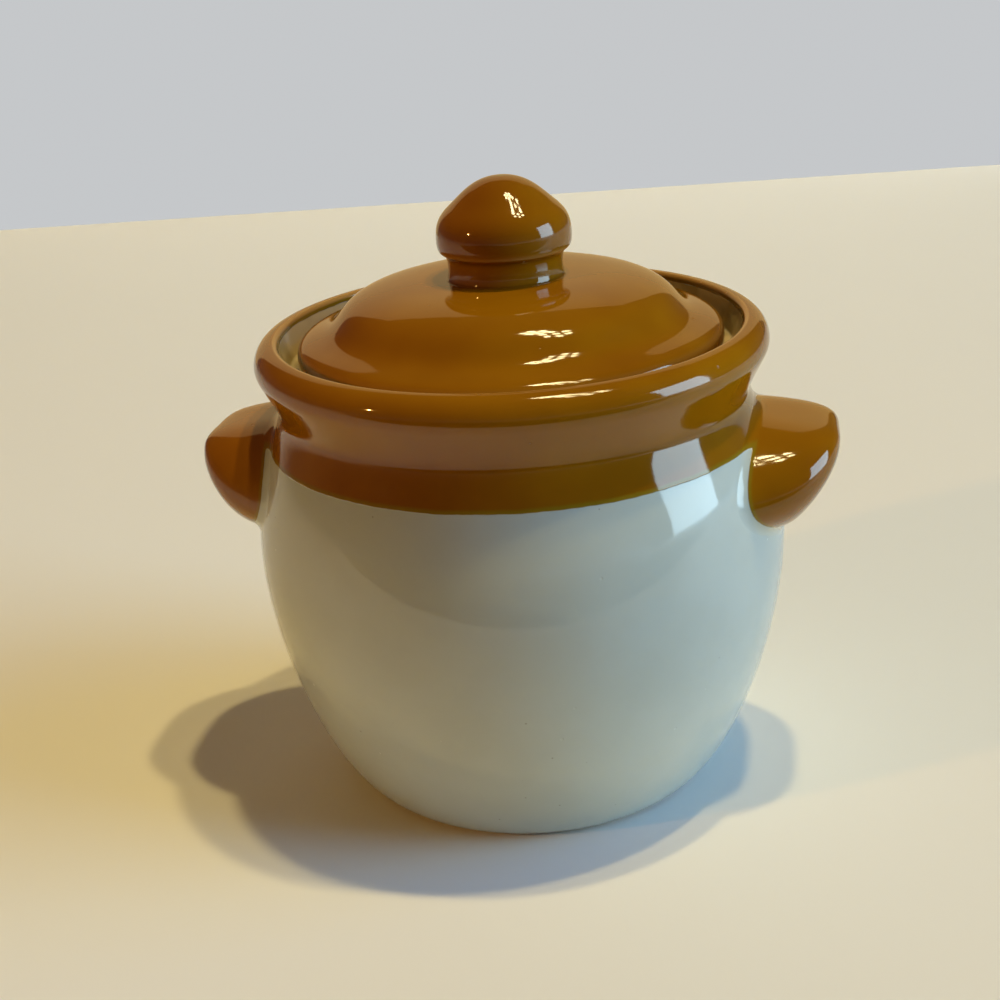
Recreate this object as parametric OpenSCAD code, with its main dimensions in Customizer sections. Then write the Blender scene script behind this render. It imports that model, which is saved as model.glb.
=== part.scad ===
// Lidded stoneware jar with two side lugs: cream belly, honey-brown neck, lugs, lid and knob.
// Millimetres, +Z up, standing on z = 0 with the axis of the jar on the Z axis and the lugs along X.

/* [Jar] */
// Height of the open jar, floor to crest of the rim
jar_h = 113.3; // [100:0.1:130]
// Outside diameter of the rolled rim
rim_d = 120.8; // [114:0.2:130]
// Thickness of the rolled rim
rim_t = 5.9; // [4.5:0.1:7]
// Height of the rolled rim, crest to neck
rim_h = 9.2; // [7.5:0.1:11]
// Height from the crest of the rim down to its widest line
rim_crown = 5.2; // [4:0.1:6]
// Overhang of the rolled rim past the top of the neck
rim_roll = 1.5; // [0.8:0.1:2.2]
// Rounding of the inner edge of the rim
lip_round = 1.1; // [0.6:0.1:2]
// Diameter of the neck at its narrowest
neck_d = 111.8; // [108:0.2:118]
// Depth of the narrowest neck below the crest of the rim
neck_drop = 16.6; // [14:0.1:20]
// Largest diameter of the belly
belly_d = 128.2; // [122:0.2:140]
// Height of the largest diameter
belly_z = 61; // [50:0.5:68]
// Outside diameter of the ring that the jar stands on
foot_d = 85; // [76:0.5:92]
// Width of the ring that the jar stands on
foot_ring_w = 6.5; // [4:0.1:10]
// Depth of the hollow under the base
foot_recess = 2; // [1:0.1:3]
// Thickness of the wall at the belly
wall = 6.5; // [5:0.1:8]
// Thickness of the floor
floor_t = 8; // [6:0.1:10]
// Diameter of the flat inside the floor
floor_d = 60; // [40:1:70]
// Depth of the line between cream and brown glaze below the narrowest neck
glaze_drop = 8.5; // [5:0.1:14]

/* [Lid seat] */
// Diameter of the gallery at the foot of its wall
gallery_d = 105.6; // [103:0.1:107]
// Depth of the ledge below the crest of the rim
gallery_depth = 8.3; // [7:0.1:10]
// Diameter of the mouth inside the ledge
mouth_d = 90; // [84:0.5:94]
// Thickness of the ledge at the mouth
ledge_t = 5; // [4:0.1:7]
// Rounding of the ledge at the mouth
ledge_round = 1.2; // [0.5:0.1:2]

/* [Lid] */
// Clearance between the edge of the lid and the gallery wall
lid_gap = 2.7; // [1:0.1:3.5]
// Height of the knob seat above the ledge
lid_h = 19.2; // [17:0.1:23]
// Height of the edge of the lid
edge_h = 4.4; // [3:0.1:6]
// Rounding under the edge of the lid
edge_round = 1; // [0.5:0.1:1.5]
// Width of the brim outside the crown
brim_w = 8.1; // [6:0.1:10]
// Height of the line between brim and crown above the ledge
brim_h = 10.2; // [8:0.1:12]
// Width of the flat that sits on the ledge
seat_w = 5.6; // [4.5:0.1:7]
// Thickness of the lid under the knob
lid_t = 6.3; // [5:0.1:8]

/* [Knob] */
// Height of the knob
knob_h = 23; // [20:0.1:27]
// Largest diameter of the knob
knob_d = 31.4; // [28:0.1:36]
// Height of the largest diameter above the lid
knob_bulge_z = 9.1; // [8:0.1:11]
// Diameter of the stem
stem_d = 26.7; // [24:0.1:28]
// Height of the stem's narrowest line above the lid
stem_z = 2.7; // [1.5:0.1:3.5]
// Flare of the stem where it spreads onto the lid
stem_flare = 0.7; // [0.4:0.1:2]
// Height of the shoulder between bulge and top
knob_shoulder_z = 16.6; // [14:0.1:18.5]
// Diameter at that shoulder
knob_shoulder_d = 24.7; // [20:0.1:27]

/* [Lugs] */
// Width of a lug across its root
lug_w = 61; // [50:0.5:66]
// Width of a lug across its outer face
lug_face_w = 44.5; // [36:0.5:50]
// Reach of a lug beyond the belly
lug_reach = 12.4; // [8:0.1:16]
// Reach of the lower edge beyond the belly
lug_heel = 3.1; // [1.5:0.1:5]
// Rounding of the lower edge
lug_heel_round = 1.9; // [1:0.1:3]
// Height of a lug at its root
lug_h = 26; // [22:0.5:32]
// Depth of the top of a lug's root below the narrowest neck
lug_drop = 5.1; // [3:0.1:8]
// Depth of the tip below the top of the root
lug_tip_drop = 6; // [4:0.1:8]
// Depth of the widest line of a lug below its tip
lug_widest_drop = 9.1; // [7:0.1:11]
// Squareness of a lug's edges seen from above, 2 for round ones and more for tighter ones
lug_square = 4; // [2.5:0.1:6]

/* [Hidden] */
$fn = 96;

honey = "#8a5206";
cream = "#dedac6";

// Heights and radii that follow from the sizes above
crest_r = rim_d/2 - rim_t + lip_round;
neck_z = jar_h - neck_drop;
glaze_z = neck_z - glaze_drop;
ledge_z = jar_h - gallery_depth;
knob_seat_z = ledge_z + lid_h;
lid_r = gallery_d/2 - lid_gap;
lid_seat_in = lid_r - edge_round - seat_w;
crown_r = lid_r - brim_w;
knob_seat_r = stem_d/2 + stem_flare;
lug_top_z = neck_z - lug_drop;
lug_base_z = lug_top_z - lug_h;
lug_tip_z = lug_top_z - lug_tip_drop;
lug_widest_z = lug_tip_z - lug_widest_drop;

// Steps along each curve of an outline
steps = 10;
// Handle length that brings a curve closest to a quarter ellipse
quarter = 0.5523;

// Cubic curve from a to d with the handles b and c, without its last point
function curve(a, b, c, d, n = steps) = [
    for (i = [0 : n - 1])
        let (t = i/n, s = 1 - t)
            s*s*s*a + 3*s*s*t*b + 3*s*t*t*c + t*t*t*d
];

// Quarter ellipse from a to d, leaving a upright or level as told
function quarter_turn(a, d, upright) =
    upright
        ? curve(a, [a.x, a.y + quarter*(d.y - a.y)], [d.x + quarter*(a.x - d.x), d.y], d)
        : curve(a, [a.x + quarter*(d.x - a.x), a.y], [d.x, d.y + quarter*(a.y - d.y)], d);

// Outside of the jar from the standing ring to the crest of the rim, as radius and height
foot_pt = [foot_d/2, 0];
belly_pt = [belly_d/2, belly_z];
neck_pt = [neck_d/2, neck_z];
rim_low_pt = [rim_d/2 - rim_roll, jar_h - rim_h];
rim_wide_pt = [rim_d/2, jar_h - rim_crown];
crest_pt = [crest_r, jar_h];
foot_swell = 0.41;
foot_lift = 0.008;
belly_swell = 0.415;
shoulder_swell = 0.595;
neck_turn = 0.11;
flare_lean = [0.5, 1];
flare_start = 0.22;
flare_end = 0.44;
roll_start = 0.34;
roll_end = 0.35;

function jar_outside() = concat(
    curve(
        foot_pt,
        foot_pt + [foot_swell*(belly_pt.x - foot_pt.x), foot_lift*belly_z],
        belly_pt - [0, belly_swell*belly_z],
        belly_pt
    ),
    curve(
        belly_pt,
        belly_pt + [0, shoulder_swell*(neck_z - belly_z)],
        neck_pt - [0, neck_turn*(neck_z - belly_z)],
        neck_pt
    ),
    curve(
        neck_pt,
        neck_pt + [0, flare_start*(rim_low_pt.y - neck_z)],
        rim_low_pt - flare_end*(rim_low_pt.y - neck_z)*flare_lean,
        rim_low_pt
    ),
    curve(
        rim_low_pt,
        rim_low_pt + roll_start*(rim_wide_pt.y - rim_low_pt.y)*flare_lean,
        rim_wide_pt - [0, roll_end*(rim_wide_pt.y - rim_low_pt.y)],
        rim_wide_pt
    ),
    quarter_turn(rim_wide_pt, crest_pt, true)
);

// Inside of the jar from the crest of the rim to the floor
lip_pt = [rim_d/2 - rim_t, jar_h - lip_round];
ledge_out_pt = [gallery_d/2, ledge_z];
ledge_in_pt = [mouth_d/2 + ledge_round, ledge_z];
mouth_pt = [mouth_d/2, ledge_z - ledge_round];
throat_pt = [mouth_d/2, ledge_z - ledge_t];
inner_belly_pt = [belly_d/2 - wall, belly_z];
inner_floor_pt = [floor_d/2, floor_t];
throat_turn = 0.13;
inner_shoulder_swell = 0.5;
inner_belly_swell = 0.53;
inner_floor_swell = 0.8;

function jar_inside() = concat(
    quarter_turn(crest_pt, lip_pt, false),
    [lip_pt, ledge_out_pt],
    quarter_turn(ledge_in_pt, mouth_pt, false),
    [mouth_pt],
    curve(
        throat_pt,
        throat_pt - [0, throat_turn*(throat_pt.y - belly_z)],
        inner_belly_pt + [0, inner_shoulder_swell*(throat_pt.y - belly_z)],
        inner_belly_pt
    ),
    curve(
        inner_belly_pt,
        inner_belly_pt - [0, inner_belly_swell*(belly_z - floor_t)],
        inner_floor_pt + [inner_floor_swell*(inner_belly_pt.x - inner_floor_pt.x), 0],
        inner_floor_pt
    ),
    [inner_floor_pt, [0, floor_t]]
);

// Hollow under the base, inside the standing ring
function jar_base() = [
    [0, foot_recess],
    [foot_d/2 - foot_ring_w - foot_recess, foot_recess],
    [foot_d/2 - foot_ring_w, 0]
];

module jar_shell() {
    rotate_extrude()
        polygon(concat(jar_outside(), jar_inside(), jar_base()));
}

// Everything that lies inside the outer face of the jar, which shapes the roots of the lugs
module jar_filled() {
    rotate_extrude()
        polygon(concat(jar_outside(), [crest_pt, [0, jar_h], [0, 0]]));
}

module below_glaze_line() {
    cylinder(h = glaze_z, r = rim_d + belly_d);
}

// One thrown piece: standing ring, wall, neck, ledge for the lid and rolled rim
module jar_body() {
    color(cream)
        intersection() {
            jar_shell();
            below_glaze_line();
        }
    color(honey)
        difference() {
            jar_shell();
            below_glaze_line();
        }
}

// A lug is a stack of half ears, one for each point of its outline in the plane of its middle.
// The stack starts inside the wall and the outer face of the jar cuts its root.
lug_bury = 0.035*neck_d;
lug_root_r = neck_d/2 - lug_bury;
lug_crown = 1.9;
lug_foot = 2.1;
lug_blunt = 0.033*lug_h;
lug_sides = 20;
lug_base_pt = [neck_d/2, lug_base_z];
lug_heel_pt = [belly_d/2 + lug_heel, lug_base_z + lug_heel_round];
lug_tip_pt = [belly_d/2 + lug_reach, lug_tip_z];
lug_top_pt = [neck_d/2, lug_top_z];
heel_lean = [0.67, 1];
face_start = [0.37, 0.32];
face_end = 0.32;
tip_turn = 0.5;
top_lean = [0.83, -0.38];
lug_taper = 1 - lug_face_w/lug_w;

function lug_outline() = concat(
    curve(
        lug_base_pt,
        (lug_base_pt + [lug_heel_pt.x, lug_base_z])/2,
        lug_heel_pt - lug_heel_round*heel_lean,
        lug_heel_pt,
        5
    ),
    curve(
        lug_heel_pt,
        lug_heel_pt + [
            face_start.x*(lug_tip_pt.x - lug_heel_pt.x),
            face_start.y*(lug_tip_pt.y - lug_heel_pt.y)
        ],
        lug_tip_pt - [0, face_end*(lug_tip_pt.y - lug_heel_pt.y)],
        lug_tip_pt,
        8
    ),
    curve(
        lug_tip_pt,
        lug_tip_pt + [0, tip_turn*lug_tip_drop],
        lug_top_pt + [top_lean.x*(lug_tip_pt.x - lug_top_pt.x), top_lean.y*lug_tip_drop],
        lug_top_pt
    ),
    [lug_top_pt]
);

// Half the width of a lug at a height
function lug_half(z) =
    let (
        above = z > lug_widest_z,
        end_z = above ? lug_top_z + lug_blunt : lug_base_z - lug_blunt,
        power = above ? lug_crown : lug_foot,
        share = (z - lug_widest_z)/(end_z - lug_widest_z)
    )
        lug_w/2*pow(1 - pow(share, power), 1/power);

// Half ear at one height, as a ring of points from one side to the other
function lug_ring(reach, z) = [
    for (k = [0 : lug_sides])
        let (
            a = -90 + 180*k/lug_sides,
            out = pow(abs(cos(a)), 2/lug_square),
            side = sign(sin(a))*pow(abs(sin(a)), 2/lug_square)
        )
            [
                lug_root_r + (reach - lug_root_r)*out,
                lug_half(z)*side*(1 - lug_taper*out),
                z
            ]
];

module lug_blank() {
    outline = lug_outline();
    rings = len(outline);
    across = lug_sides + 1;
    points = [for (p = outline) each lug_ring(p.x, p.y)];
    sides = [
        for (i = [0 : rings - 2], k = [0 : across - 1])
            let (
                a = i*across + k,
                b = i*across + (k + 1)%across,
                c = a + across,
                d = b + across
            )
                each [[a, d, b], [a, c, d]]
    ];
    bottom = [for (k = [0 : across - 1]) k];
    top = [for (k = [across - 1 : -1 : 0]) (rings - 1)*across + k];
    polyhedron(points, concat(sides, [bottom, top]));
}

// Lug pressed in a mould and luted to the shoulder, on the +X side
module right_lug() {
    color(honey)
        difference() {
            lug_blank();
            jar_filled();
        }
}

// The same lug on the -X side
module left_lug() {
    color(honey)
        rotate([0, 0, 180])
            difference() {
                lug_blank();
                jar_filled();
            }
}

// Lid: knob seat, crown, brim that curls over to the edge, flat on the ledge and hollow underneath
brim_pt = [crown_r, ledge_z + brim_h];
edge_pt = [lid_r, ledge_z + edge_h];
seat_edge_pt = [knob_seat_r, knob_seat_z];
hollow_top_z = knob_seat_z - lid_t;
crown_lean = [0.556*brim_w, -0.333*brim_h];
crown_start = [0.88, -0.02];
brim_start = 0.7;
brim_end = 0.7;
hollow_start = [-0.06, 0.62];
hollow_end = 0.86;

module lid() {
    color(honey)
        rotate_extrude()
            polygon(concat(
                [[0, knob_seat_z]],
                curve(
                    seat_edge_pt,
                    seat_edge_pt + [
                        crown_start.x*(crown_r - knob_seat_r),
                        crown_start.y*(knob_seat_z - brim_pt.y)
                    ],
                    brim_pt - crown_lean,
                    brim_pt
                ),
                curve(
                    brim_pt,
                    brim_pt + brim_start*crown_lean,
                    edge_pt + [0, brim_end*(brim_h - edge_h)],
                    edge_pt
                ),
                [edge_pt],
                quarter_turn([lid_r, ledge_z + edge_round], [lid_r - edge_round, ledge_z], true),
                [[lid_r - edge_round, ledge_z]],
                curve(
                    [lid_seat_in, ledge_z],
                    [
                        lid_seat_in + hollow_start.x*lid_seat_in,
                        ledge_z + hollow_start.y*(hollow_top_z - ledge_z)
                    ],
                    [hollow_end*lid_seat_in, hollow_top_z],
                    [0, hollow_top_z]
                ),
                [[0, hollow_top_z]]
            ));
}

// Knob: flared stem, bulge for the fingers, shoulder and rounded top, luted to the middle of the lid
stem_pt = [stem_d/2, knob_seat_z + stem_z];
bulge_pt = [knob_d/2, knob_seat_z + knob_bulge_z];
shoulder_pt = [knob_shoulder_d/2, knob_seat_z + knob_shoulder_z];
knob_top_pt = [0, knob_seat_z + knob_h];
stem_start = 0.78;
bulge_low = 0.71;
bulge_high = 0.47;
shoulder_lean = [-0.108*knob_d, 0.129*knob_h];
shoulder_low = 0.74;
top_swell = 0.5;

module knob() {
    color(honey)
        rotate_extrude()
            polygon(concat(
                [[0, knob_seat_z]],
                quarter_turn(seat_edge_pt, stem_pt, false),
                curve(
                    stem_pt,
                    stem_pt + [0, stem_start*(bulge_pt.y - stem_pt.y)],
                    bulge_pt - [0, bulge_low*(bulge_pt.y - stem_pt.y)],
                    bulge_pt
                ),
                curve(
                    bulge_pt,
                    bulge_pt + [0, bulge_high*(shoulder_pt.y - bulge_pt.y)],
                    shoulder_pt - shoulder_low*shoulder_lean,
                    shoulder_pt
                ),
                curve(
                    shoulder_pt,
                    shoulder_pt + shoulder_lean,
                    knob_top_pt + [top_swell*shoulder_pt.x, 0],
                    knob_top_pt
                ),
                [knob_top_pt]
            ));
}

jar_body();
left_lug();
right_lug();
lid();
knob();
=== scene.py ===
import math

import bmesh
import bpy
import numpy as np
from mathutils import Matrix, Vector


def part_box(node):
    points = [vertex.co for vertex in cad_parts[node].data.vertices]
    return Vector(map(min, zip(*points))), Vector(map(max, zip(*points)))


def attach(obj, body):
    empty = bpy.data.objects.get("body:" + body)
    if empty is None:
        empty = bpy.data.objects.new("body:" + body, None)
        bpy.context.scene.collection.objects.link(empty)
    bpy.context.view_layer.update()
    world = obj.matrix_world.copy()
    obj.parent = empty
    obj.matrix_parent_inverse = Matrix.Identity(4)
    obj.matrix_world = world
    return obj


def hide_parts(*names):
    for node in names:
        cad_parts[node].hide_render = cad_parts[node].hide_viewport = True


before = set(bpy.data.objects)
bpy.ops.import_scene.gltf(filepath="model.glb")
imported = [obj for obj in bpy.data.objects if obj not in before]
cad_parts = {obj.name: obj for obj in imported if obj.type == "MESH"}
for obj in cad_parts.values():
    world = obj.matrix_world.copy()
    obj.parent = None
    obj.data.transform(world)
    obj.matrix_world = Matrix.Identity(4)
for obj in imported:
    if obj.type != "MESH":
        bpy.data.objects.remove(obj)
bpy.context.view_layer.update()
mm = 0.001
quarterHandle = 0.5523  # handle length that brings a curve closest to a quarter ellipse


# Nodes written as sums

class Wire:
    # one socket of a node tree, which Python's operators turn into Math nodes
    def __init__(self, tree, socket=None):
        self.tree = tree
        self.socket = socket

    def node(self, kind, settings=None, sockets=None, out=0):
        made = self.tree.nodes.new(kind)
        for name, value in (settings or {}).items():
            setattr(made, name, value)
        for name, value in (sockets or {}).items():
            if isinstance(value, Wire):
                self.tree.links.new(value.socket, made.inputs[name])
            else:
                made.inputs[name].default_value = value
        return Wire(self.tree, made.outputs[out] if made.outputs else None)

    def output(self, name):  # another output of the same node
        return Wire(self.tree, self.socket.node.outputs[name])

    def sums(self, operation, *values):
        return self.node("ShaderNodeMath", {"operation": operation}, dict(enumerate(values)))

    def __add__(self, other):
        return self.sums("ADD", self, other)

    def __sub__(self, other):
        return self.sums("SUBTRACT", self, other)

    def __rsub__(self, other):
        return self.sums("SUBTRACT", other, self)

    def __mul__(self, other):
        return self.sums("MULTIPLY", self, other)

    def __truediv__(self, other):
        return self.sums("DIVIDE", self, other)

    def __rtruediv__(self, other):
        return self.sums("DIVIDE", other, self)

    def __mod__(self, other):
        return self.sums("MODULO", self, other)

    __radd__ = __add__
    __rmul__ = __mul__


def rise(value, low, high):  # 0 below low, 1 above high, smooth between
    return value.node("ShaderNodeMapRange", {"interpolation_type": "SMOOTHSTEP"}, {0: value, 1: low, 2: high})


def tint(mask, first, second):  # first colour where the mask is 0, second where it is 1
    return mask.node("ShaderNodeMix", {"data_type": "RGBA"}, {0: mask, 6: first, 7: second}, out=2)


def grain(place, scale, detail=2.0):
    return place.node("ShaderNodeTexNoise", None, {"Vector": place, "Scale": scale, "Detail": detail})


# round spots in a share of the cells of a lattice, at full strength within their core
def dots(place, scale, size, share, core=0.6, pickBlur=0.01):
    cells = place.node("ShaderNodeTexVoronoi", None, {"Vector": place, "Scale": scale})
    pick = cells.node("ShaderNodeSeparateColor", None, {"Color": cells.output("Color")})
    picked = rise(pick, 1 - share, 1 - share + pickBlur)
    return picked * (1 - rise(cells.output("Distance"), core * size, size))


# Stoneware under two glazes

# depth into the honey coat, into its thin wash and into bare clay, then the sharpness of the surface
pieceMarks = ("coatEdge", "washEdge", "bareEdge", "ridge")
stoneware = {
    "honey": (0.305, 0.116, 0.0012, 1),
    "honeyRed": (0.24, 0.077, 0.0008, 1),
    "honeyThin": (0.52, 0.28, 0.075, 1),
    "honeyPooled": (0.13, 0.040, 0.0006, 1),
    "honeyEdge": (0.25, 0.165, 0.008, 1),
    "thinShare": 0.7,
    "pooledShare": 0.6,
    "edgeShare": 0.75,
    "wash": (0.62, 0.47, 0.22, 1),
    "washDark": (0.40, 0.30, 0.12, 1),
    "cream": (0.515, 0.545, 0.47, 1),
    "creamShade": (0.48, 0.50, 0.42, 1),
    "mottleShare": 0.6,
    "speckShare": 0.4,
    "clay": (0.50, 0.39, 0.27, 1),
    "clayDark": (0.36, 0.26, 0.17, 1),
    "speck": (0.13, 0.085, 0.04, 1),
    "glazeIndex": 1.48,
    "glossLow": 0.035,
    "glossHigh": 0.09,
    "glossScale": 160,
    "clayRoughness": 0.85,
    "edgeWave": 0.5 * mm,
    "edgeScale": 90,
    "edgeFineWave": 0.2 * mm,
    "edgeFineScale": 420,
    "edgeStart": 0.39 * mm,
    "edgeWidth": 1.3 * mm,
    "coatBlur": 0.12 * mm,
    "washBlur": 0.1 * mm,
    "coatThickness": 0.09 * mm,
    "waveHeight": 0.072 * mm,
    "waveScale": 70,
    "rippleHeight": 0.012 * mm,
    "rippleScale": 320,
    "gritHeight": 0.08 * mm,
    "gritScale": 1500,
    "thinRange": (0.35, 1.2),
    "pooledRange": (0.10, 0.9),
    "cloudScale": 24,
    "cloudRange": (0.35, 0.68),
    "mottleScale": 55,
    "mottleRange": (0.35, 0.7),
    "clayScale": 600,
    "clayRange": (0.4, 0.7),
    "washScale": 60,
    "washRange": (0.42, 0.62),
    "specks": {"scale": 420, "size": 0.12, "share": 0.05},
    "pinholes": {"scale": 300, "size": 0.14, "share": 0.05},
    "pinholeDepth": 0.06 * mm,
    "pinholeRoughness": 0.3,
}


def stonewareFinish(name):
    look = stoneware
    material = bpy.data.materials.new(name)
    material.use_nodes = True
    material.node_tree.nodes.clear()
    net = Wire(material.node_tree)
    place = net.node("ShaderNodeTexCoord", None, None, "Object")
    coatEdge, washEdge, bareEdge, ridge = [
        net.node("ShaderNodeAttribute", {"attribute_name": mark}, None, "Fac") for mark in pieceMarks
    ]
    # where each coat lies, with an uneven brushed edge
    wander = (grain(place, look["edgeScale"], 1.0) - 0.5) * look["edgeWave"]
    wander = wander + (grain(place, look["edgeFineScale"], 1.0) - 0.5) * look["edgeFineWave"]
    coat = coatEdge + wander
    honeyMask = rise(coat, -look["coatBlur"], look["coatBlur"])
    edgeMask = honeyMask * (1 - rise(coat, look["edgeStart"], look["edgeWidth"]))
    washMask = rise(washEdge + wander, -look["washBlur"], look["washBlur"])
    bareMask = rise(bareEdge + wander, -look["washBlur"], look["washBlur"])
    thinMask = rise(ridge, *look["thinRange"])
    pooledMask = rise(0 - ridge, *look["pooledRange"])
    # honey glaze: red and amber clouds, pale on tight edges, dark where it pools
    cloud = rise(grain(place, look["cloudScale"], 3.0), *look["cloudRange"])
    honey = tint(cloud, look["honey"], look["honeyRed"])
    honey = tint(thinMask * look["thinShare"], honey, look["honeyThin"])
    honey = tint(pooledMask * look["pooledShare"], honey, look["honeyPooled"])
    honey = tint(edgeMask * look["edgeShare"], honey, look["honeyEdge"])
    # cream glaze: soft mottling and a few iron specks
    mottle = rise(grain(place, look["mottleScale"], 4.0), *look["mottleRange"])
    cream = tint(mottle * look["mottleShare"], look["cream"], look["creamShade"])
    specks = dots(place, **look["specks"])
    cream = tint(specks * look["speckShare"], cream, look["speck"])
    # bare clay of the standing ring and the lid's seat, thin honey wash in the gallery
    grit = rise(grain(place, look["clayScale"], 3.0), *look["clayRange"])
    clay = tint(grit, look["clay"], look["clayDark"])
    streaks = rise(grain(place, look["washScale"], 3.0), *look["washRange"])
    wash = tint(streaks, look["wash"], look["washDark"])
    colour = tint(washMask, cream, wash)
    colour = tint(honeyMask, colour, honey)
    colour = tint(bareMask, colour, clay)
    pinholes = dots(place, **look["pinholes"])
    gloss = look["glossLow"] + grain(place, look["glossScale"], 3.0) * (look["glossHigh"] - look["glossLow"])
    gloss = gloss + pinholes * look["pinholeRoughness"]
    roughness = gloss + (look["clayRoughness"] - gloss) * bareMask
    height = (
        honeyMask * look["coatThickness"]
        + grain(place, look["waveScale"], 1.0) * look["waveHeight"]
        + grain(place, look["rippleScale"], 2.0) * look["rippleHeight"]
        - pinholes * look["pinholeDepth"]
        + bareMask * grain(place, look["gritScale"], 3.0) * look["gritHeight"]
    )
    relief = net.node("ShaderNodeBump", None, {"Height": height, "Distance": 1.0, "Strength": 1.0})
    shader = net.node("ShaderNodeBsdfPrincipled", None, {
        "Base Color": colour, "Roughness": roughness, "Normal": relief, "IOR": look["glazeIndex"],
    })
    net.node("ShaderNodeOutputMaterial", None, {"Surface": shader})
    return material


# Outlines, as radius and height, from the axis round the piece and back to the axis

def bend(start, leave, arrive, end, steps=28):  # cubic curve without its last point
    share = np.linspace(0, 1, steps, endpoint=False)[:, None]
    rest = 1 - share
    start, leave, arrive, end = map(np.array, (start, leave, arrive, end))
    return rest**3 * start + 3 * rest**2 * share * leave + 3 * rest * share**2 * arrive + share**3 * end


def quarterTurn(start, end, upright, steps=14):  # quarter ellipse that leaves its start upright or level
    across = quarterHandle * (end[0] - start[0])
    up = quarterHandle * (end[1] - start[1])
    if upright:
        return bend(start, (start[0], start[1] + up), (end[0] - across, end[1]), end, steps)
    return bend(start, (start[0] + across, start[1]), (end[0], end[1] - up), end, steps)


def straight(start, end, steps=6):
    return bend(start, start, end, end, steps)


def softCorner(before, corner, after, size, steps=6):
    before, corner, after = map(np.array, (before, corner, after))
    start = corner + (before - corner) * size / np.linalg.norm(before - corner)
    end = corner + (after - corner) * size / np.linalg.norm(after - corner)
    leave = start + quarterHandle * (corner - start)
    arrive = end + quarterHandle * (corner - end)
    return np.vstack([bend(start, leave, arrive, end, steps), end])


def lengthsAlong(path):
    return np.concatenate([[0], np.cumsum(np.linalg.norm(np.diff(path, axis=0), axis=1))])


def placeAlong(path, along):
    return np.stack([np.interp(along, lengthsAlong(path), path[:, k]) for k in (0, 1)], -1)


def alongTo(outline, spot):  # length along an outline to the place nearest a spot
    steps = np.diff(outline, axis=0)
    lengths = np.linalg.norm(steps, axis=1)
    share = ((np.array(spot) - outline[:-1]) * steps).sum(1) / lengths**2
    share = share.clip(0, 1)
    off = np.linalg.norm(outline[:-1] + share[:, None] * steps - spot, axis=1)
    best = off.argmin()
    return lengths[:best].sum() + share[best] * lengths[best]


def depthInto(outline, zones):  # how far each point lies inside the nearest zone, below 0 outside them
    along = lengthsAlong(outline)
    depths = [np.minimum(along - alongTo(outline, a), alongTo(outline, b) - along) for a, b in zones]
    return np.max(depths, axis=0) if zones else np.full(len(outline), -1.0)


# Turning a piece on the wheel

turning = {
    "stepsAround": 224, "mergeWithin": 0.001 * mm, "roundEdge": 1.5 * mm, "seamSharpness": 5,
    "seamMark": -0.6,
}


def turningTree():
    tree = bpy.data.node_groups.new("turnedPiece", "GeometryNodeTree")
    for name, kind in (
        ("Outline", "NodeSocketGeometry"),
        ("Steps Around", "NodeSocketInt"),
        ("Finish", "NodeSocketMaterial"),
    ):
        tree.interface.new_socket(name, in_out="INPUT", socket_type=kind)
    tree.interface.new_socket("Piece", in_out="OUTPUT", socket_type="NodeSocketGeometry")
    net = Wire(tree)
    outline = net.node("NodeGroupInput", None, None, "Outline")
    stepsAround = outline.output("Steps Around")
    count = net.node("GeometryNodeAttributeDomainSize", {"component": "MESH"},
                     {"Geometry": outline}, "Point Count")
    sheet = net.node("GeometryNodeMeshGrid", None, {"Vertices X": stepsAround + 1, "Vertices Y": count})
    index = net.node("GeometryNodeInputIndex")
    row = index % count
    turned = (index - row) / count * math.tau / stepsAround
    position = net.node("GeometryNodeInputPosition")
    point = net.node("GeometryNodeSampleIndex", {"data_type": "FLOAT_VECTOR"},
                     {"Geometry": outline, "Value": position, "Index": row})
    radius = net.node("ShaderNodeSeparateXYZ", None, {"Vector": point})
    spot = net.node("ShaderNodeCombineXYZ", None, {
        "X": radius * turned.sums("COSINE", turned),
        "Y": radius * turned.sums("SINE", turned),
        "Z": radius.output("Z"),
    })
    shell = sheet
    for mark in pieceMarks[:3]:  # the ridge is marked on the finished mesh
        value = net.node("GeometryNodeInputNamedAttribute", {"data_type": "FLOAT"}, {"Name": mark})
        value = net.node("GeometryNodeSampleIndex", {"data_type": "FLOAT"},
                         {"Geometry": outline, "Value": value, "Index": row})
        shell = net.node("GeometryNodeStoreNamedAttribute", {"data_type": "FLOAT", "domain": "POINT"},
                         {"Geometry": shell, "Name": mark, "Value": value})
    shell = net.node("GeometryNodeSetPosition", None, {"Geometry": shell, "Position": spot})
    shell = net.node("GeometryNodeMergeByDistance", None,
                     {"Geometry": shell, "Distance": turning["mergeWithin"]})
    shell = net.node("GeometryNodeSetShadeSmooth", None, {"Geometry": shell})
    shell = net.node("GeometryNodeRealizeInstances", None, {"Geometry": shell})
    shell = net.node("GeometryNodeSetMaterial", None,
                     {"Geometry": shell, "Material": outline.output("Finish")})
    net.node("NodeGroupOutput", None, {"Piece": shell})
    return tree


def newObject(name, mesh):
    made = bpy.data.objects.new(name, mesh)
    bpy.context.scene.collection.objects.link(made)
    return made


def markPoints(mesh, mark, values):
    mesh.attributes.new(mark, "FLOAT", "POINT").data.foreach_set("value", np.asarray(values, np.float32))


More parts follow.
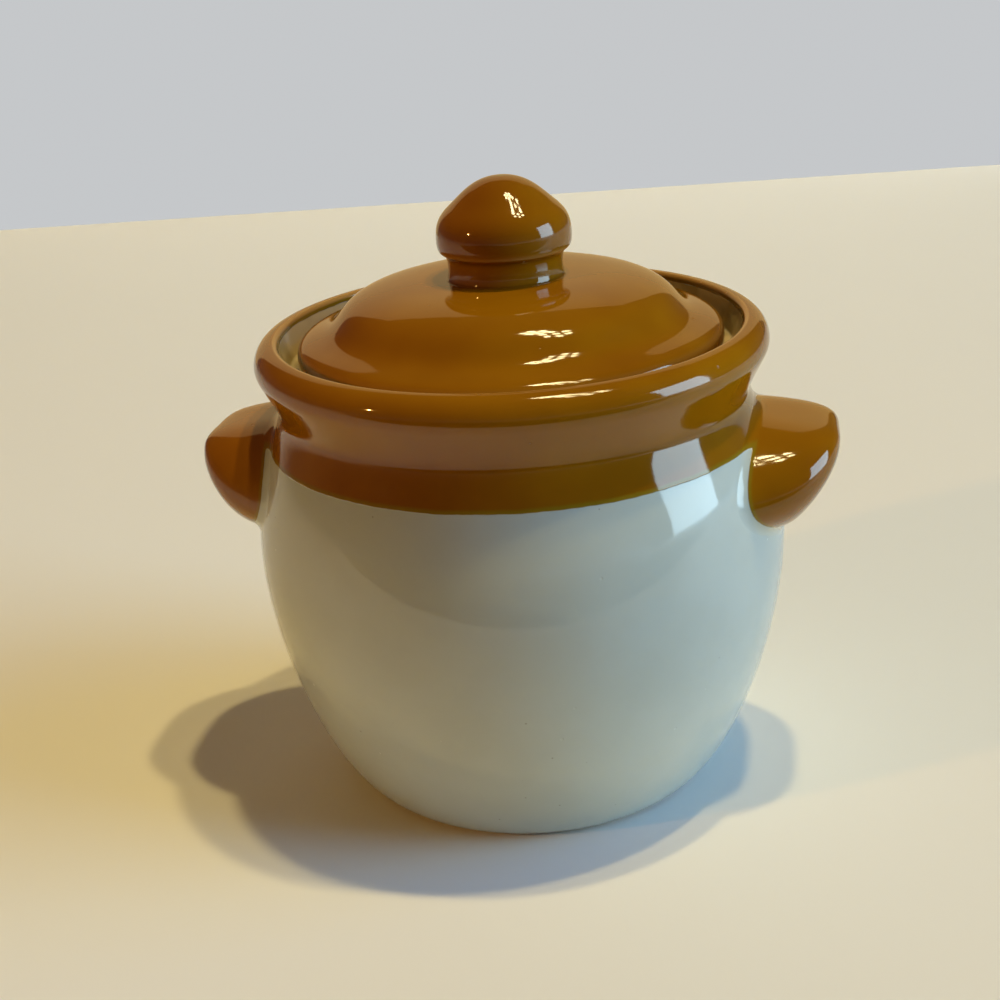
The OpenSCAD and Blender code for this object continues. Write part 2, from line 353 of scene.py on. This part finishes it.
def closeUp(piece):  # merges doubles, turns the faces outwards and marks how sharp the surface is
    shape = bmesh.new()
    shape.from_mesh(piece.data)
    bmesh.ops.remove_doubles(shape, verts=shape.verts, dist=turning["mergeWithin"])
    bmesh.ops.recalc_face_normals(shape, faces=shape.faces)
    for face in shape.faces:
        face.smooth = True
    shape.to_mesh(piece.data)
    shape.free()
    mesh = piece.data
    spots = np.array([v.co for v in mesh.vertices])
    normals = np.array([v.normal for v in mesh.vertices])
    ends = np.array([e.vertices[:] for e in mesh.edges])
    bends = np.zeros(len(spots))
    count = np.zeros(len(spots))
    for here, there in (ends.T, ends.T[::-1]):
        reach = spots[here] - spots[there]
        np.add.at(bends, here, 2 * (reach * normals[here]).sum(1) / (reach**2).sum(1))
        np.add.at(count, here, 1)
    sharp = 2 * turning["roundEdge"] * bends / count  # 1 on an edge rounded to roundEdge
    sharp[sharp > turning["seamSharpness"]] = turning["seamMark"]  # glaze pools along a seam
    markPoints(mesh, "ridge", sharp)


def turnedPiece(name, outline, zones, finish):
    mesh = bpy.data.meshes.new(name)
    spots = [(radius, 0, height) for radius, height in outline]
    mesh.from_pydata(spots, [(i, i + 1) for i in range(len(spots) - 1)], [])
    for mark, stretches in zip(pieceMarks, zones):
        markPoints(mesh, mark, depthInto(outline, stretches))
    piece = newObject(name, mesh)
    modifier = piece.modifiers.new("turned", "NODES")
    modifier.node_group = wheel
    sockets = {item.name: item.identifier for item in wheel.interface.items_tree if item.in_out == "INPUT"}
    modifier[sockets["Steps Around"]] = turning["stepsAround"]
    modifier[sockets["Finish"]] = finish
    solid = bpy.data.meshes.new_from_object(piece.evaluated_get(bpy.context.evaluated_depsgraph_get()))
    piece.modifiers.clear()
    piece.data = solid
    closeUp(piece)
    print(name, "turned,", len(solid.polygons), "faces")
    return piece


wheel = turningTree()
jarFinish = stonewareFinish("creamAndHoneyGlaze")
honeyFinish = stonewareFinish("honeyGlaze")


# Jar: standing ring, belly, neck, rolled rim, gallery for the lid, inside

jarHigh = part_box("jar_body")[1]
jar = {
    "rimRadius": 60.4 * mm, "rimThickness": 5.9 * mm, "rimHeight": 9.2 * mm, "rimCrown": 5.2 * mm,
    "rimRoll": 1.5 * mm, "lipRound": 1.1 * mm, "neckRadius": 55.9 * mm, "neckDrop": 16.6 * mm,
    "bellyHeight": 61 * mm, "footRadius": 42.5 * mm, "footRing": 6.5 * mm, "footRecess": 2 * mm,
    "wall": 6.5 * mm, "floorThickness": 8 * mm, "floorRadius": 30 * mm, "glazeDrop": 8.5 * mm,
    "lipGlaze": 1.7 * mm, "seatedRadius": 49.1 * mm, "galleryRadius": 52.8 * mm, "galleryDepth": 8.3 * mm,
    "mouthRadius": 45 * mm, "ledgeThickness": 5 * mm, "ledgeRound": 1.2 * mm, "bareAbove": 1.2 * mm,
    "corner": 0.9 * mm, "cornerClear": 1.5 * mm, "flareLean": (0.5, 1),
    # handles of the curves, as shares of the stretch that each spans
    "footOut": 0.41, "footUp": 0.008, "bellyBelow": 0.415, "bellyAbove": 0.595, "neckBelow": 0.11,
    "neckAbove": 0.22, "flareEnd": 0.44, "rollStart": 0.34, "rollEnd": 0.35, "throat": 0.13,
    "innerAbove": 0.5, "innerBelow": 0.53, "innerFloor": 0.8,
}
jarTop = jarHigh.z
bellyRadius = jarHigh.y
neckHeight = jarTop - jar["neckDrop"]
ledgeHeight = jarTop - jar["galleryDepth"]
glazeLine = neckHeight - jar["glazeDrop"]
lipRadius = jar["rimRadius"] - jar["rimThickness"]
crest = (lipRadius + jar["lipRound"], jarTop)


def jarOutside():
    foot = np.array((jar["footRadius"], 0))
    belly = np.array((bellyRadius, jar["bellyHeight"]))
    neck = np.array((jar["neckRadius"], neckHeight))
    rimLow = np.array((jar["rimRadius"] - jar["rimRoll"], jarTop - jar["rimHeight"]))
    rimWide = np.array((jar["rimRadius"], jarTop - jar["rimCrown"]))
    flareLean = np.array(jar["flareLean"])
    footLeave = foot + (jar["footOut"] * (belly[0] - foot[0]), jar["footUp"] * belly[1])
    shoulderRise = neckHeight - jar["bellyHeight"]
    flareRise = rimLow[1] - neckHeight
    rollRise = rimWide[1] - rimLow[1]
    return np.vstack([
        bend(foot, footLeave, belly - (0, jar["bellyBelow"] * belly[1]), belly, steps=48),
        bend(belly, belly + (0, jar["bellyAbove"] * shoulderRise),
             neck - (0, jar["neckBelow"] * shoulderRise), neck, steps=40),
        bend(neck, neck + (0, jar["neckAbove"] * flareRise),
             rimLow - jar["flareEnd"] * flareRise * flareLean, rimLow, steps=14),
        bend(rimLow, rimLow + jar["rollStart"] * rollRise * flareLean,
             rimWide - (0, jar["rollEnd"] * rollRise), rimWide, steps=10),
        quarterTurn(rimWide, crest, True, steps=20),
    ])


def wallRadius(height):  # outer radius of the jar below its rim
    outside = jarOutside()
    return np.interp(height, outside[:, 1], outside[:, 0])


def makeJar():
    ringIn = jar["footRadius"] - jar["footRing"]
    recess = (ringIn - jar["footRecess"], jar["footRecess"])
    ringEdge = (ringIn, 0)
    lip = (lipRadius, jarTop - jar["lipRound"])
    ledgeOut = (jar["galleryRadius"], ledgeHeight)
    ledgeIn = (jar["mouthRadius"] + jar["ledgeRound"], ledgeHeight)
    mouth = (jar["mouthRadius"], ledgeHeight - jar["ledgeRound"])
    throat = np.array((jar["mouthRadius"], ledgeHeight - jar["ledgeThickness"]))
    innerBelly = np.array((bellyRadius - jar["wall"], jar["bellyHeight"]))
    innerFloor = np.array((jar["floorRadius"], jar["floorThickness"]))
    throatDrop = throat[1] - innerBelly[1]
    innerDrop = innerBelly[1] - innerFloor[1]
    outline = np.vstack([
        straight((0, recess[1]), recess, steps=10)[:-1],
        softCorner((0, recess[1]), recess, ringEdge, jar["corner"]),
        softCorner(recess, ringEdge, (jar["footRadius"], 0), jar["corner"]),
        straight((ringIn + jar["cornerClear"], 0), (jar["footRadius"], 0)),
        jarOutside(),
        quarterTurn(crest, lip, False),
        straight(lip, (np.array(lip) + ledgeOut) / 2, steps=4),
        softCorner(lip, ledgeOut, ledgeIn, jar["corner"]),
        straight((ledgeOut[0] - jar["cornerClear"], ledgeHeight), ledgeIn),
        quarterTurn(ledgeIn, mouth, False, steps=8),
        straight(mouth, throat, steps=4),
        bend(throat, throat - (0, jar["throat"] * throatDrop),
             innerBelly + (0, jar["innerAbove"] * throatDrop), innerBelly),
        bend(innerBelly, innerBelly - (0, jar["innerBelow"] * innerDrop),
             innerFloor + (jar["innerFloor"] * (innerBelly[0] - innerFloor[0]), 0), innerFloor),
        straight(innerFloor, (0, innerFloor[1]), steps=12),
        [(0, innerFloor[1])],
    ])
    coats = [((wallRadius(glazeLine), glazeLine), (lip[0], jarTop - jar["lipGlaze"]))]
    ringTop = (wallRadius(jar["bareAbove"]), jar["bareAbove"])
    wash = [((lipRadius, jarTop - jar["lipGlaze"]), mouth)]
    bare = [(ringEdge, ringTop), ((jar["seatedRadius"], ledgeHeight), ledgeIn)]
    return turnedPiece("jarBody", outline, (coats, wash, bare), jarFinish)


# Lugs: solid ears whose roots run into the wall in a fillet

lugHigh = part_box("right_lug")[1]
lug = {
    "width": 61 * mm, "faceWidth": 44.5 * mm, "height": 26 * mm, "drop": 5.1 * mm, "tipDrop": 6 * mm,
    "widestDrop": 9.1 * mm, "heel": 3.1 * mm, "heelRound": 1.9 * mm, "squareness": 4, "crown": 1.9,
    "foot": 2.1, "fillet": 2.6 * mm, "glazeCreep": 1.2 * mm, "sink": 0.05 * mm, "skirt": 1.2 * mm,
    "skirtSink": 0.6 * mm, "plug": 3 * mm, "searchReach": 45 * mm, "rootShare": 0.93, "bluntShare": 0.033,
    "stepsAround": 168, "flankSteps": 56, "filletSteps": 12, "searchSteps": 1800, "taperSteps": 600,
    "heelLean": (0.67, 1), "narrowest": 0.01 * mm,
    # handles of the curves, as shares of the stretch that each spans
    "underHeel": (0.37, 0.32), "underTip": 0.32, "overTip": 0.5, "topOut": 0.83, "topDown": 0.38,
    "filletBend": 0.62,
}
lugTop = neckHeight - lug["drop"]
lugBase = lugTop - lug["height"]
lugTip = lugTop - lug["tipDrop"]
lugWidest = lugTip - lug["widestDrop"]
lugRoot = jar["neckRadius"] * lug["rootShare"]  # radius at which the ears would end inside the wall
lugBlunt = lug["bluntShare"] * lug["height"]


def lugProfile():  # outline of a lug in its middle plane
    base = np.array((jar["neckRadius"], lugBase))
    heel = np.array((bellyRadius + lug["heel"], lugBase + lug["heelRound"]))
    tip = np.array((lugHigh.x, lugTip))
    top = np.array((jar["neckRadius"], lugTop))
    heelLean = np.array(lug["heelLean"])
    topLean = (lug["topOut"] * (tip[0] - top[0]), -lug["topDown"] * lug["tipDrop"])
    return np.vstack([
        bend(base, (base + (heel[0], lugBase)) / 2, heel - lug["heelRound"] * heelLean, heel, steps=60),
        bend(heel, heel + lug["underHeel"] * (tip - heel), tip - (0, lug["underTip"] * (tip[1] - heel[1])),
             tip, steps=80),
        bend(tip, tip + (0, lug["overTip"] * lug["tipDrop"]), top + topLean, top, steps=80),
        [top],
    ])


def lugFace(across, height, profile):  # how far out the ear reaches at a place, 0 where there is none
    reach = np.interp(height, profile[:, 1], profile[:, 0]) - lugRoot
    above = height > lugWidest
    end = np.where(above, lugTop + lugBlunt, lugBase - lugBlunt)
    power = np.where(above, lug["crown"], lug["foot"])
    share = ((height - lugWidest) / (end - lugWidest)).clip(0, 1)
    half = lug["width"] / 2 * (1 - share**power) ** (1 / power)
    side = (np.abs(across) / np.maximum(half, lug["narrowest"])).clip(0, 1)
    out = 1 - np.linspace(1, 0, lug["taperSteps"]) ** 2
    taper = 1 - lug["faceWidth"] / lug["width"]
    narrowing = (1 - taper * out) * (1 - out ** lug["squareness"]) ** (1 / lug["squareness"])
    face = lugRoot + reach * np.interp(side, narrowing[::-1], out[::-1])
    return np.where((height < lugBase) | (height > lugTop) | (side >= 1), 0, face)


def wallFace(across, height):
    return np.sqrt(np.maximum(wallRadius(height) ** 2 - across**2, 0))


def lugSection(angle, middle, profile):  # one path from the middle of the ear to the wall, with its marks
    out = np.linspace(0, lug["searchReach"], lug["searchSteps"])
    across = out * math.cos(angle)
    height = middle + out * math.sin(angle)
    ear = lugFace(across, height, profile)
    wall = wallFace(across, height)
    last = int(np.argmax(ear < wall))
    share = (ear[last - 1] - wall[last - 1]) / (ear[last - 1] - wall[last - 1] + wall[last] - ear[last])
    share = share if ear[last] > 0 else 1.0
    root = np.array((out[last - 1] + share * (out[1] - out[0]), wall[last - 1]))
    flank = np.vstack([np.stack([out, ear], 1)[:last], root])
    foot = np.vstack([root, np.stack([out, wall], 1)[last:]])
    flankEnd = lengthsAlong(flank)[-1] - lug["fillet"]
    start = placeAlong(flank, flankEnd)
    end = placeAlong(foot, lug["fillet"]) - (0, lug["sink"])
    skirt = placeAlong(foot, lug["fillet"] + lug["skirt"]) - (0, lug["skirtSink"])
    face = placeAlong(flank, np.linspace(0, flankEnd, lug["flankSteps"], endpoint=False)[1:])
    leave = start + lug["filletBend"] * (root - start)
    arrive = end + lug["filletBend"] * (root - end)
    path = np.vstack([face, bend(start, leave, arrive, end, lug["filletSteps"]), end, skirt])
    creep = lug["glazeCreep"] * (1 + math.sin(angle))  # none below, where the fillet stays cream
    marks = flankEnd + creep - (flankEnd / lug["flankSteps"] + lengthsAlong(path))
    return path, marks


def makeLug(name, side):
    profile = lugProfile()
    middle = (lugWidest + lugTip) / 2
    around = lug["stepsAround"]
    spots = []
    marks = []
    for step in range(around):
        angle = math.tau * step / around
        path, depth = lugSection(angle, middle, profile)
        across = path[:, 0] * math.cos(angle)
        height = middle + path[:, 0] * math.sin(angle)
        spots.append(np.stack([side * path[:, 1], side * across, height], 1))
        marks.append(np.maximum(depth, height - glazeLine))
    rings = len(spots[0])
    tip = (side * lugFace(np.array(0.0), np.array(middle), profile), 0, middle)
    inside = (side * (wallRadius(middle) - lug["plug"]), 0, middle)
    faces = []
    for step in range(around):
        here = step * rings
        there = (step + 1) % around * rings
        faces += [(here + k, here + k + 1, there + k + 1, there + k) for k in range(rings - 1)]
        faces += [(around * rings, here, there), (around * rings + 1, there + rings - 1, here + rings - 1)]
    mesh = bpy.data.meshes.new(name)
    mesh.from_pydata(np.vstack([*spots, tip, inside]).tolist(), [], faces)
    tipMark, insideMark = 1, -1  # honey at the tip, none on the plug inside the wall
    markPoints(mesh, "coatEdge", np.concatenate([*marks, [tipMark, insideMark]]))
    for mark in ("washEdge", "bareEdge"):
        markPoints(mesh, mark, np.full(len(mesh.vertices), -1.0))
    mesh.materials.append(honeyFinish)
    piece = newObject(name, mesh)
    closeUp(piece)
    print(name, "shaped,", len(mesh.polygons), "faces")
    return piece


# Lid: knob seat, crown, brim that curls over to the edge, bare seat and hollow underneath

lidLow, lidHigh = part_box("lid")
knobLow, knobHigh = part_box("knob")
lid = {
    "edgeHeight": 4.4 * mm, "edgeRound": 1 * mm, "brimWidth": 8.1 * mm, "brimHeight": 10.2 * mm,
    "seatWidth": 5.6 * mm, "thickness": 6.3 * mm, "seatCorner": 0.6 * mm,
    # handles of the curves, as shares of the stretch that each spans
    "brimOut": 0.556, "brimDown": 0.333, "curlStart": 0.7, "curlEnd": 0.7, "crownOut": 0.88,
    "crownDown": 0.02, "hollowIn": 0.06, "hollowUp": 0.62, "hollowTop": 0.86,
}
knob = {
    "bulgeHeight": 9.1 * mm, "stemRadius": 13.35 * mm, "stemHeight": 2.7 * mm, "stemFlare": 0.7 * mm,
    "shoulderHeight": 16.6 * mm, "shoulderRadius": 12.35 * mm,
    # handles of the curves, as shares of the stretch that each spans
    "stem": 0.78, "underBulge": 0.71, "overBulge": 0.47, "underShoulder": 0.74, "leanIn": 0.216,
    "leanUp": 0.129, "top": 0.5,
}
knobSeat = np.array((knob["stemRadius"] + knob["stemFlare"], knobLow.z))


def makeLid():
    foot = lidLow.z
    edgeRadius = lidHigh.y
    brim = np.array((edgeRadius - lid["brimWidth"], foot + lid["brimHeight"]))
    edge = np.array((edgeRadius, foot + lid["edgeHeight"]))
    lean = np.array((lid["brimOut"] * lid["brimWidth"], -lid["brimDown"] * lid["brimHeight"]))
    curlRise = lid["brimHeight"] - lid["edgeHeight"]
    underEdge = (edgeRadius, foot + lid["edgeRound"])
    seatOut = (edgeRadius - lid["edgeRound"], foot)
    seatIn = np.array((seatOut[0] - lid["seatWidth"], foot))
    hollowTop = knobSeat[1] - lid["thickness"]
    hollowStart = seatIn + (-lid["hollowIn"] * seatIn[0], lid["hollowUp"] * (hollowTop - foot))
    crownDrop = knobSeat[1] - brim[1]
    crownStart = knobSeat + (lid["crownOut"] * (brim[0] - knobSeat[0]), -lid["crownDown"] * crownDrop)
    outline = np.vstack([
        straight((0, knobSeat[1]), knobSeat, steps=8),
        bend(knobSeat, crownStart, brim - lean, brim, steps=36),
        bend(brim, brim + lid["curlStart"] * lean, edge + (0, lid["curlEnd"] * curlRise), edge, steps=24),
        straight(edge, underEdge),
        quarterTurn(underEdge, seatOut, True, steps=8),
        straight(seatOut, seatIn + (lid["seatCorner"], 0)),
        softCorner(seatOut, seatIn, hollowStart, lid["seatCorner"])[:-1],
        bend(seatIn, hollowStart, (lid["hollowTop"] * seatIn[0], hollowTop), (0, hollowTop), steps=44)[1:],
        [(0, hollowTop)],
    ])
    coats = [((0, knobSeat[1]), underEdge)]
    bare = [(underEdge, seatIn)]
    return turnedPiece("lidShell", outline, (coats, [], bare), honeyFinish)


# Knob: flared stem, bulge for the fingers, shoulder and rounded top

def makeKnob():
    seat = knobLow.z
    bulgeRadius = knobHigh.y
    stem = np.array((knob["stemRadius"], seat + knob["stemHeight"]))
    bulge = np.array((bulgeRadius, seat + knob["bulgeHeight"]))
    shoulder = np.array((knob["shoulderRadius"], seat + knob["shoulderHeight"]))
    top = np.array((0, knobHigh.z))
    lean = np.array((-knob["leanIn"] * bulgeRadius, knob["leanUp"] * (knobHigh.z - seat)))
    stemRise = bulge[1] - stem[1]
    bulgeRise = shoulder[1] - bulge[1]
    outline = np.vstack([
        straight((0, seat), knobSeat, steps=8),
        quarterTurn(knobSeat, stem, False, steps=10),
        bend(stem, stem + (0, knob["stem"] * stemRise), bulge - (0, knob["underBulge"] * stemRise),
             bulge, steps=28),
        bend(bulge, bulge + (0, knob["overBulge"] * bulgeRise), shoulder - knob["underShoulder"] * lean,
             shoulder, steps=20),
        bend(shoulder, shoulder + lean, top + (knob["top"] * shoulder[0], 0), top, steps=28),
        [top],
    ])
    return turnedPiece("knobTurned", outline, ([((0, seat), top)], [], []), honeyFinish)


# Dressing the frame

jarBody = makeJar()
rightLug = makeLug("rightLugShaped", 1)
leftLug = makeLug("leftLugShaped", -1)
lidShell = makeLid()
knobTurned = makeKnob()
for piece, body, node, slot in (
    (jarBody, "jar", "jar_body", "cream_glaze"),
    (rightLug, "jar", "right_lug", "honey_glaze"),
    (leftLug, "jar", "left_lug", "honey_glaze"),
    (lidShell, "lid", "lid", "honey_glaze"),
    (knobTurned, "lid", "knob", "honey_glaze"),
):
    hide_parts(node)
    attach(piece, body)
print("pieces ride on their bodies")


# Camera, seen as in the photograph

camera = {
    "distance": 343.36 * mm, "height": 205.50 * mm, "turn": 10.5, "pitch": 21.835, "yaw": -0.840,
    "roll": 3.912, "focalPixels": 1500, "imagePixels": 1000, "sensor": 36.0,
    "clipNear": 10 * mm, "clipFar": 50,
}
viewTurn = Matrix.Rotation(math.radians(camera["turn"]), 4, "Z")


def makeCamera():
    data = bpy.data.cameras.new("photoCamera")
    data.sensor_width = camera["sensor"]
    data.lens = camera["sensor"] * camera["focalPixels"] / camera["imagePixels"]
    data.clip_start = camera["clipNear"]
    data.clip_end = camera["clipFar"]
    pitch, yaw, roll = (math.radians(camera[name]) for name in ("pitch", "yaw", "roll"))
    ahead = Vector((math.sin(yaw) * math.cos(pitch), math.cos(yaw) * math.cos(pitch), -math.sin(pitch)))
    right = Vector((math.cos(yaw), -math.sin(yaw), 0))
    up = right.cross(ahead)
    turn = Matrix((
        math.cos(roll) * right - math.sin(roll) * up, math.sin(roll) * right + math.cos(roll) * up, -ahead,
    )).transposed().to_4x4()
    made = newObject("photoCamera", data)
    made.matrix_world = viewTurn @ Matrix.Translation((0, -camera["distance"], camera["height"])) @ turn
    bpy.context.scene.camera = made


# Floor, backdrop and light, with places counted to the right of the view, back behind the jar and up

stage = {
    "floorReach": 4.5, "floor": (0.85, 0.82, 0.73, 1), "sheetRoughness": 0.7,
    "boardBehind": 0.77, "boardLeft": -0.50, "boardRight": 0.43, "boardHeight": 0.84,
    "board": (0.72, 0.72, 0.72, 1), "boardShown": (0.56, 0.575, 0.59, 1),
    "boardMirrored": (0.62, 0.44, 0.20, 1),
    "horizon": (0.06, 0.059, 0.058, 1), "overhead": (0.022, 0.021, 0.02, 1), "horizonBlend": 0.35,
    # painted shade: place and colour of the dark sheet on the floor before the jar, which stands in for the
    # shade of the room in front
    "shadeNear": -0.225, "shadeFar": -1.6, "shadeReach": 1.2, "shadeLift": 0.4 * mm,
    "paintedShade": (0.012, 0.010, 0.008, 1),
}
lamps = {
    "overheadRight": {
        "place": (0.78, 0.0, 2.85), "size": (0.1, 0.1), "shape": "RECTANGLE", "power": 24,
        "tint": (1.0, 0.80, 0.37), "mirrored": False, "lights": True,
    },
    "overheadLeft": {
        "place": (0.40, 0.09, 2.85), "size": (0.1, 0.1), "shape": "RECTANGLE", "power": 24,
        "tint": (1.0, 0.80, 0.37), "mirrored": False, "lights": True,
    },
    "window": {
        "place": (4.74, -1.08, 1.26), "size": (2.4, 2.58), "shape": "RECTANGLE", "power": 171,
        "tint": (0.58, 0.84, 1.0), "mirrored": True, "lights": True,
    },
    "skylight": {
        "place": (4.5, -0.6, 2.88), "size": (3.6, 3.6), "shape": "RECTANGLE", "power": 126,
        "tint": (0.10, 0.36, 1.0), "mirrored": False, "lights": True,
    },
    "low": {
        "place": (-1.25, -0.6, 0.62), "size": (0.04, 0.04), "shape": "ELLIPSE", "power": 4.4,
        "tint": (1.0, 0.52, 0.12), "mirrored": True, "lights": True,
    },
}
bulbs = {  # rings round a middle bulb, seen in the glaze alone
    "clusters": (((0.86, -0.14, 2.85), 0.27), ((0.42, 0.16, 2.85), 0.18)), "ring": 6,
    "size": (0.15, 0.15), "shape": "ELLIPSE", "power": 2.5,
    "tint": (1.0, 0.84, 0.42), "mirrored": True, "lights": False,
}


# shown is the colour that the camera sees, mirrored the one that glaze reflects
def stageSheet(name, corners, colour, shown=None, mirrored=None):
    material = bpy.data.materials.new(name)
    material.use_nodes = True
    material.node_tree.nodes.clear()
    net = Wire(material.node_tree)
    shader = net.node("ShaderNodeBsdfPrincipled", None,
                      {"Base Color": colour, "Roughness": stage["sheetRoughness"]})
    if shown:
        ray = net.node("ShaderNodeLightPath", None, None, "Is Camera Ray")
        glossy = ray.output("Is Glossy Ray")
        seen = ray + glossy + ray.output("Is Transmission Ray")
        glow = net.node("ShaderNodeEmission", None, {"Color": tint(glossy, shown, mirrored)})
        shader = net.node("ShaderNodeMixShader", None, {0: seen, 1: shader, 2: glow})
    net.node("ShaderNodeOutputMaterial", None, {"Surface": shader})
    mesh = bpy.data.meshes.new(name)
    mesh.from_pydata([viewTurn @ Vector(corner) for corner in corners], [], [(0, 1, 2, 3)])
    mesh.materials.append(material)
    sheet = newObject(name, mesh)
    return sheet


def level(left, right, near, far, height):  # corners of a level rectangle
    return [(left, near, height), (right, near, height), (right, far, height), (left, far, height)]


def makeStage():
    reach = stage["floorReach"]
    stageSheet("floor", level(-reach, reach, -reach, reach, 0), stage["floor"])
    left, right, behind, top = (stage["board" + name] for name in ("Left", "Right", "Behind", "Height"))
    board = [(left, behind, 0), (right, behind, 0), (right, behind, top), (left, behind, top)]
    stageSheet("backdrop", board, stage["board"], stage["boardShown"], stage["boardMirrored"])
    # painted shade of the dark room before the jar: a dark sheet on the floor, which the camera misses, which
    # the glaze mirrors and which takes away the light that the floor there would bounce
    wide = stage["shadeReach"]
    corners = level(-wide, wide, stage["shadeFar"], stage["shadeNear"], stage["shadeLift"])
    paintedShade = stageSheet("paintedShadeSheet", corners, stage["paintedShade"])
    paintedShade.visible_camera = False
    paintedShade.visible_shadow = False
    world = bpy.data.worlds.new("room")
    world.use_nodes = True
    world.node_tree.nodes.clear()
    net = Wire(world.node_tree)
    ray = net.node("ShaderNodeTexCoord", None, None, "Generated")
    lift = net.node("ShaderNodeSeparateXYZ", None, {"Vector": ray}).output("Z")
    colour = tint(rise(lift, 0.0, stage["horizonBlend"]), stage["horizon"], stage["overhead"])
    sky = net.node("ShaderNodeBackground", None, {"Color": colour, "Strength": 1.0})
    net.node("ShaderNodeOutputWorld", None, {"Surface": sky})
    bpy.context.scene.world = world


def makeLamp(name, place, lamp):  # an area lamp turned to the middle of the jar
    data = bpy.data.lights.new(name, "AREA")
    data.shape = lamp["shape"]
    data.size, data.size_y = lamp["size"]
    data.energy = lamp["power"]
    data.color = lamp["tint"]
    made = newObject(name, data)
    facing = (Vector((0, 0, jarTop / 2)) - place).to_track_quat("-Z", "Y").to_matrix().to_4x4()
    made.matrix_world = viewTurn @ Matrix.Translation(place) @ facing
    made.visible_camera = False
    made.visible_glossy = lamp["mirrored"]
    made.visible_diffuse = lamp["lights"]


def makeLamps():
    for name, lamp in lamps.items():
        makeLamp(name, Vector(lamp["place"]), lamp)
    for middle, radius in bulbs["clusters"]:
        makeLamp("bulb", Vector(middle), bulbs)
        for step in range(bulbs["ring"]):
            turn = math.tau * step / bulbs["ring"]
            makeLamp("bulb", Vector(middle) + radius * Vector((math.cos(turn), math.sin(turn), 0)), bulbs)


makeCamera()
makeStage()
makeLamps()
bpy.context.scene.view_settings.view_transform = "Standard"
print("camera, floor and light are set")
